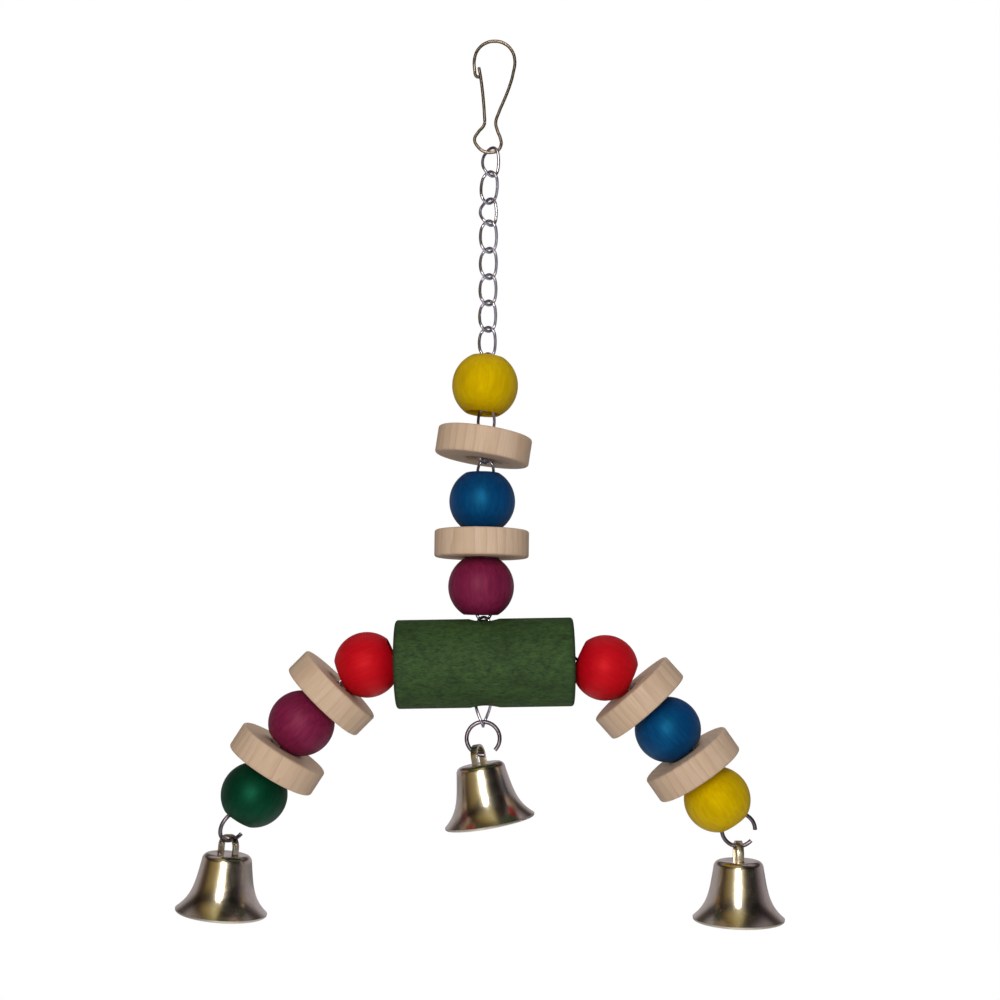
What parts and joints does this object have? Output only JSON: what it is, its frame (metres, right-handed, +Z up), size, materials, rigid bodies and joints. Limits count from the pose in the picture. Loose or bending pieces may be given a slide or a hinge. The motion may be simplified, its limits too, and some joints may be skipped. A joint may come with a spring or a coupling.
{
  "type": "hanging bird perch toy",
  "caption": "Hanging cage toy: snap hook, twisted-link chain through wooden beads and discs, a green dowel perch with drooping beaded arms, and bells with clappers.",
  "frame": {"origin": "inner top of the snap hook's bow, where the toy hangs", "axes": "+Z up along the hanging chain, +X towards the right-hand arm as seen from the front, +Y to the back"},
  "size_m": [0.1851, 0.0298, 0.2684],
  "materials": {
    "hook_nickel": "bright nickel-plated spring wire",
    "chain_steel": "nickel-plated steel wire",
    "purple_stained_wood": "purple dye stain with a thin gloss coat",
    "natural_wood": "bare sanded hardwood",
    "blue_stained_wood": "blue dye stain with a thin gloss coat",
    "yellow_stained_wood": "yellow dye stain with a thin gloss coat",
    "perch_stained_wood": "mottled green dye stain, matt",
    "ring_steel": "dark nickel-plated steel wire",
    "bell_nickel": "polished nickel plate",
    "red_stained_wood": "red dye stain with a thin gloss coat",
    "green_stained_wood": "dark green dye stain with a thin gloss coat"
  },
  "bodies": {
    "hook": {"hook_frame": "hook_nickel"},
    "gate": {"hook_gate": "hook_nickel"},
    "link_1": {"chain_link_1": "chain_steel"},
    "link_2": {"chain_link_2": "chain_steel"},
    "link_3": {"chain_link_3": "chain_steel"},
    "link_4": {"chain_link_4": "chain_steel"},
    "link_5": {"chain_link_5": "chain_steel"},
    "link_6": {"chain_link_6": "chain_steel"},
    "column": {"chain_link_7": "chain_steel", "chain_link_8": "chain_steel", "column_chain": "chain_steel"},
    "bead_purple_top": {"bead_purple_top": "purple_stained_wood"},
    "disc_lower": {"disc_lower": "natural_wood"},
    "bead_blue_top": {"bead_blue_top": "blue_stained_wood"},
    "disc_upper": {"disc_upper": "natural_wood"},
    "bead_yellow_top": {"bead_yellow_top": "yellow_stained_wood"},
    "perch": {"perch_dowel": "perch_stained_wood", "chain_link_18": "chain_steel", "chain_link_19": "chain_steel", "chain_crossing_link": "chain_steel", "chain_link_20": "chain_steel", "chain_tail_link": "chain_steel", "left_inner_chain": "chain_steel", "right_inner_chain": "chain_steel"},
    "centre_ring": {"centre_jump_ring": "ring_steel"},
    "bell_centre": {"bell_centre_shell": "bell_nickel", "bell_centre_strap": "bell_nickel"},
    "clapper_centre": {"bell_centre_clapper": "bell_nickel"},
    "left_root": {"left_root_link": "chain_steel"},
    "left_bead_red": {"left_bead_red": "red_stained_wood"},
    "left_middle": {"left_middle_chain": "chain_steel"},
    "left_disc_inner": {"left_disc_inner": "natural_wood"},
    "left_bead_purple": {"left_bead_purple": "purple_stained_wood"},
    "left_outer": {"left_outer_chain": "chain_steel"},
    "left_disc_outer": {"left_disc_outer": "natural_wood"},
    "left_bead_green": {"left_bead_green": "green_stained_wood"},
    "left_ring": {"left_jump_ring": "ring_steel"},
    "bell_left": {"bell_left_shell": "bell_nickel", "bell_left_strap": "bell_nickel"},
    "clapper_left": {"bell_left_clapper": "bell_nickel"},
    "right_root": {"right_root_link": "chain_steel"},
    "right_bead_red": {"right_bead_red": "red_stained_wood"},
    "right_middle": {"right_middle_chain": "chain_steel"},
    "right_disc_inner": {"right_disc_inner": "natural_wood"},
    "right_bead_blue": {"right_bead_blue": "blue_stained_wood"},
    "right_outer": {"right_outer_chain": "chain_steel"},
    "right_disc_outer": {"right_disc_outer": "natural_wood"},
    "right_bead_yellow": {"right_bead_yellow": "yellow_stained_wood"},
    "right_ring": {"right_jump_ring": "ring_steel"},
    "bell_right": {"bell_right_shell": "bell_nickel", "bell_right_strap": "bell_nickel"},
    "clapper_right": {"bell_right_clapper": "bell_nickel"}
  },
  "joints": [
    {"name": "gate_turn", "type": "hinge", "parent": "hook", "child": "gate", "pos_m": [-0.00326, 0, -0.0242], "axis": [0, 1, 0], "range_deg": [0, 12], "stiffness_Nm_per_rad": 0.01},
    {"name": "link_1_turn", "type": "hinge", "parent": "hook", "child": "link_1", "pos_m": [-0.0011, 0, -0.03278], "axis": [0, 1, 0], "range_deg": [-20, 20]},
    {"name": "link_2_turn", "type": "hinge", "parent": "link_1", "child": "link_2", "pos_m": [-0.00124, -0.00166, -0.0406], "axis": [1, 0, 0], "range_deg": [-20, 20]},
    {"name": "link_3_turn", "type": "hinge", "parent": "link_2", "child": "link_3", "pos_m": [-0.00194, 0, -0.0484], "axis": [0, -1, 0], "range_deg": [-20, 20]},
    {"name": "link_4_turn", "type": "hinge", "parent": "link_3", "child": "link_4", "pos_m": [-0.0018, -0.00274, -0.05591], "axis": [-1, 0, 0], "range_deg": [-20, 20]},
    {"name": "link_5_turn", "type": "hinge", "parent": "link_4", "child": "link_5", "pos_m": [-0.0018, -0.00162, -0.06384], "axis": [0, 1, 0], "range_deg": [-20, 20]},
    {"name": "link_6_turn", "type": "hinge", "parent": "link_5", "child": "link_6", "pos_m": [-0.0019, -0.00162, -0.07184], "axis": [1, 0, 0], "range_deg": [-20, 20]},
    {"name": "column_turn", "type": "hinge", "parent": "link_6", "child": "column", "pos_m": [-0.00201, -0.00162, -0.07984], "axis": [0, 1, 0], "range_deg": [-20, 20]},
    {"name": "bead_purple_top_spin", "type": "hinge", "parent": "column", "child": "bead_purple_top", "pos_m": [-0.00403, -0.00162, -0.16599], "axis": [0.0131, 0, 0.9999], "continuous": true},
    {"name": "disc_lower_spin", "type": "hinge", "parent": "column", "child": "disc_lower", "pos_m": [-0.00386, -0.00162, -0.15305], "axis": [0.0131, 0, 0.9999], "continuous": true},
    {"name": "bead_blue_top_spin", "type": "hinge", "parent": "column", "child": "bead_blue_top", "pos_m": [-0.0037, -0.00162, -0.14012], "axis": [0.0131, 0, 0.9999], "continuous": true},
    {"name": "disc_upper_spin", "type": "hinge", "parent": "column", "child": "disc_upper", "pos_m": [-0.00328, -0.00162, -0.12339], "axis": [0.1521, 0, 0.9884], "continuous": true},
    {"name": "bead_yellow_top_slide", "type": "slide", "parent": "column", "child": "bead_yellow_top", "axis": [0.0131, 0, 0.9999], "range_m": [-0.0052, 0.014]},
    {"name": "perch_turn", "type": "hinge", "parent": "column", "child": "perch", "pos_m": [-0.00316, -0.00162, -0.16783], "axis": [0, 1, 0], "range_deg": [-8, 8]},
    {"name": "centre_ring_turn", "type": "hinge", "parent": "perch", "child": "centre_ring", "pos_m": [-0.00342, -0.00162, -0.20843], "axis": [0, 1, 0], "range_deg": [-20, 20]},
    {"name": "bell_centre_turn", "type": "hinge", "parent": "centre_ring", "child": "bell_centre", "pos_m": [-0.00497, -0.00162, -0.21685], "axis": [0.9511, 0, -0.309], "range_deg": [-20, 20]},
    {"name": "clapper_centre_turn", "type": "hinge", "parent": "bell_centre", "child": "clapper_centre", "pos_m": [-0.0039, -0.00162, -0.22294], "axis": [-0.3368, -0.9397, -0.0594], "range_deg": [-32, 32]},
    {"name": "left_root_turn", "type": "hinge", "parent": "perch", "child": "left_root", "pos_m": [-0.03494, -0.00162, -0.18823], "axis": [0, 1, 0], "range_deg": [0, 20]},
    {"name": "left_bead_red_spin", "type": "hinge", "parent": "left_root", "child": "left_bead_red", "pos_m": [-0.03864, -0.00162, -0.18972], "axis": [-0.9272, 0, -0.3746], "continuous": true},
    {"name": "left_middle_turn", "type": "hinge", "parent": "left_root", "child": "left_middle", "pos_m": [-0.04235, -0.00162, -0.19122], "axis": [0, 1, 0], "range_deg": [0, 23]},
    {"name": "left_disc_inner_spin", "type": "hinge", "parent": "left_middle", "child": "left_disc_inner", "pos_m": [-0.04942, -0.00162, -0.19829], "axis": [-0.7071, 0, -0.7071], "continuous": true},
    {"name": "left_bead_purple_spin", "type": "hinge", "parent": "left_middle", "child": "left_bead_purple", "pos_m": [-0.05857, -0.00162, -0.20744], "axis": [-0.7071, 0, -0.7071], "continuous": true},
    {"name": "left_outer_turn", "type": "hinge", "parent": "left_middle", "child": "left_outer", "pos_m": [-0.05932, -0.00162, -0.20819], "axis": [0.7071, 0, -0.7071], "range_deg": [-12, 12]},
    {"name": "left_disc_outer_spin", "type": "hinge", "parent": "left_outer", "child": "left_disc_outer", "pos_m": [-0.06587, -0.00162, -0.21827], "axis": [-0.5446, 0, -0.8387], "continuous": true},
    {"name": "left_bead_green_spin", "type": "hinge", "parent": "left_outer", "child": "left_bead_green", "pos_m": [-0.07291, -0.00162, -0.22912], "axis": [-0.5446, 0, -0.8387], "continuous": true},
    {"name": "left_ring_turn", "type": "hinge", "parent": "left_outer", "child": "left_ring", "pos_m": [-0.07907, -0.00162, -0.2386], "axis": [-0.5446, 0, -0.8387], "range_deg": [-15, 15]},
    {"name": "bell_left_turn", "type": "hinge", "parent": "left_ring", "child": "bell_left", "pos_m": [-0.08079, -0.00019, -0.24309], "axis": [0.6409, 0.7676, 0], "range_deg": [-20, 20]},
    {"name": "clapper_left_turn", "type": "hinge", "parent": "bell_left", "child": "clapper_left", "pos_m": [-0.08163, -0.00019, -0.25052], "axis": [0.7647, -0.6385, -0.0871], "range_deg": [-32, 32]},
    {"name": "right_root_turn", "type": "hinge", "parent": "perch", "child": "right_root", "pos_m": [0.02996, -0.00162, -0.18903], "axis": [0, -1, 0], "range_deg": [0, 22]},
    {"name": "right_bead_red_spin", "type": "hinge", "parent": "right_root", "child": "right_bead_red", "pos_m": [0.03361, -0.00162, -0.19065], "axis": [0.9135, 0, -0.4067], "continuous": true},
    {"name": "right_middle_turn", "type": "hinge", "parent": "right_root", "child": "right_middle", "pos_m": [0.03727, -0.00162, -0.19228], "axis": [0, -1, 0], "range_deg": [0, 24]},
    {"name": "right_disc_inner_spin", "type": "hinge", "parent": "right_middle", "child": "right_disc_inner", "pos_m": [0.04399, -0.00162, -0.19975], "axis": [0.6691, 0, -0.7431], "continuous": true},
    {"name": "right_bead_blue_spin", "type": "hinge", "parent": "right_middle", "child": "right_bead_blue", "pos_m": [0.05265, -0.00162, -0.20936], "axis": [0.6691, 0, -0.7431], "continuous": true},
    {"name": "right_outer_turn", "type": "hinge", "parent": "right_middle", "child": "right_outer", "pos_m": [0.05333, -0.00162, -0.21011], "axis": [0.7431, 0, 0.6691], "range_deg": [-12, 12]},
    {"name": "right_disc_outer_spin", "type": "hinge", "parent": "right_outer", "child": "right_disc_outer", "pos_m": [0.06021, -0.00162, -0.21994], "axis": [0.5736, 0, -0.8192], "continuous": true},
    {"name": "right_bead_yellow_spin", "type": "hinge", "parent": "right_outer", "child": "right_bead_yellow", "pos_m": [0.06763, -0.00162, -0.23054], "axis": [0.5736, 0, -0.8192], "continuous": true},
    {"name": "right_ring_turn", "type": "hinge", "parent": "right_outer", "child": "right_ring", "pos_m": [0.07412, -0.00162, -0.23981], "axis": [0.5736, 0, -0.8192], "range_deg": [-15, 15]},
    {"name": "bell_right_turn", "type": "hinge", "parent": "right_ring", "child": "bell_right", "pos_m": [0.07412, -0.00162, -0.24483], "axis": [1, 0, 0], "range_deg": [-20, 20]},
    {"name": "clapper_right_turn", "type": "hinge", "parent": "bell_right", "child": "clapper_right", "pos_m": [0.07412, -0.00162, -0.25231], "axis": [0, -1, 0], "range_deg": [-32, 32]}
  ]
}
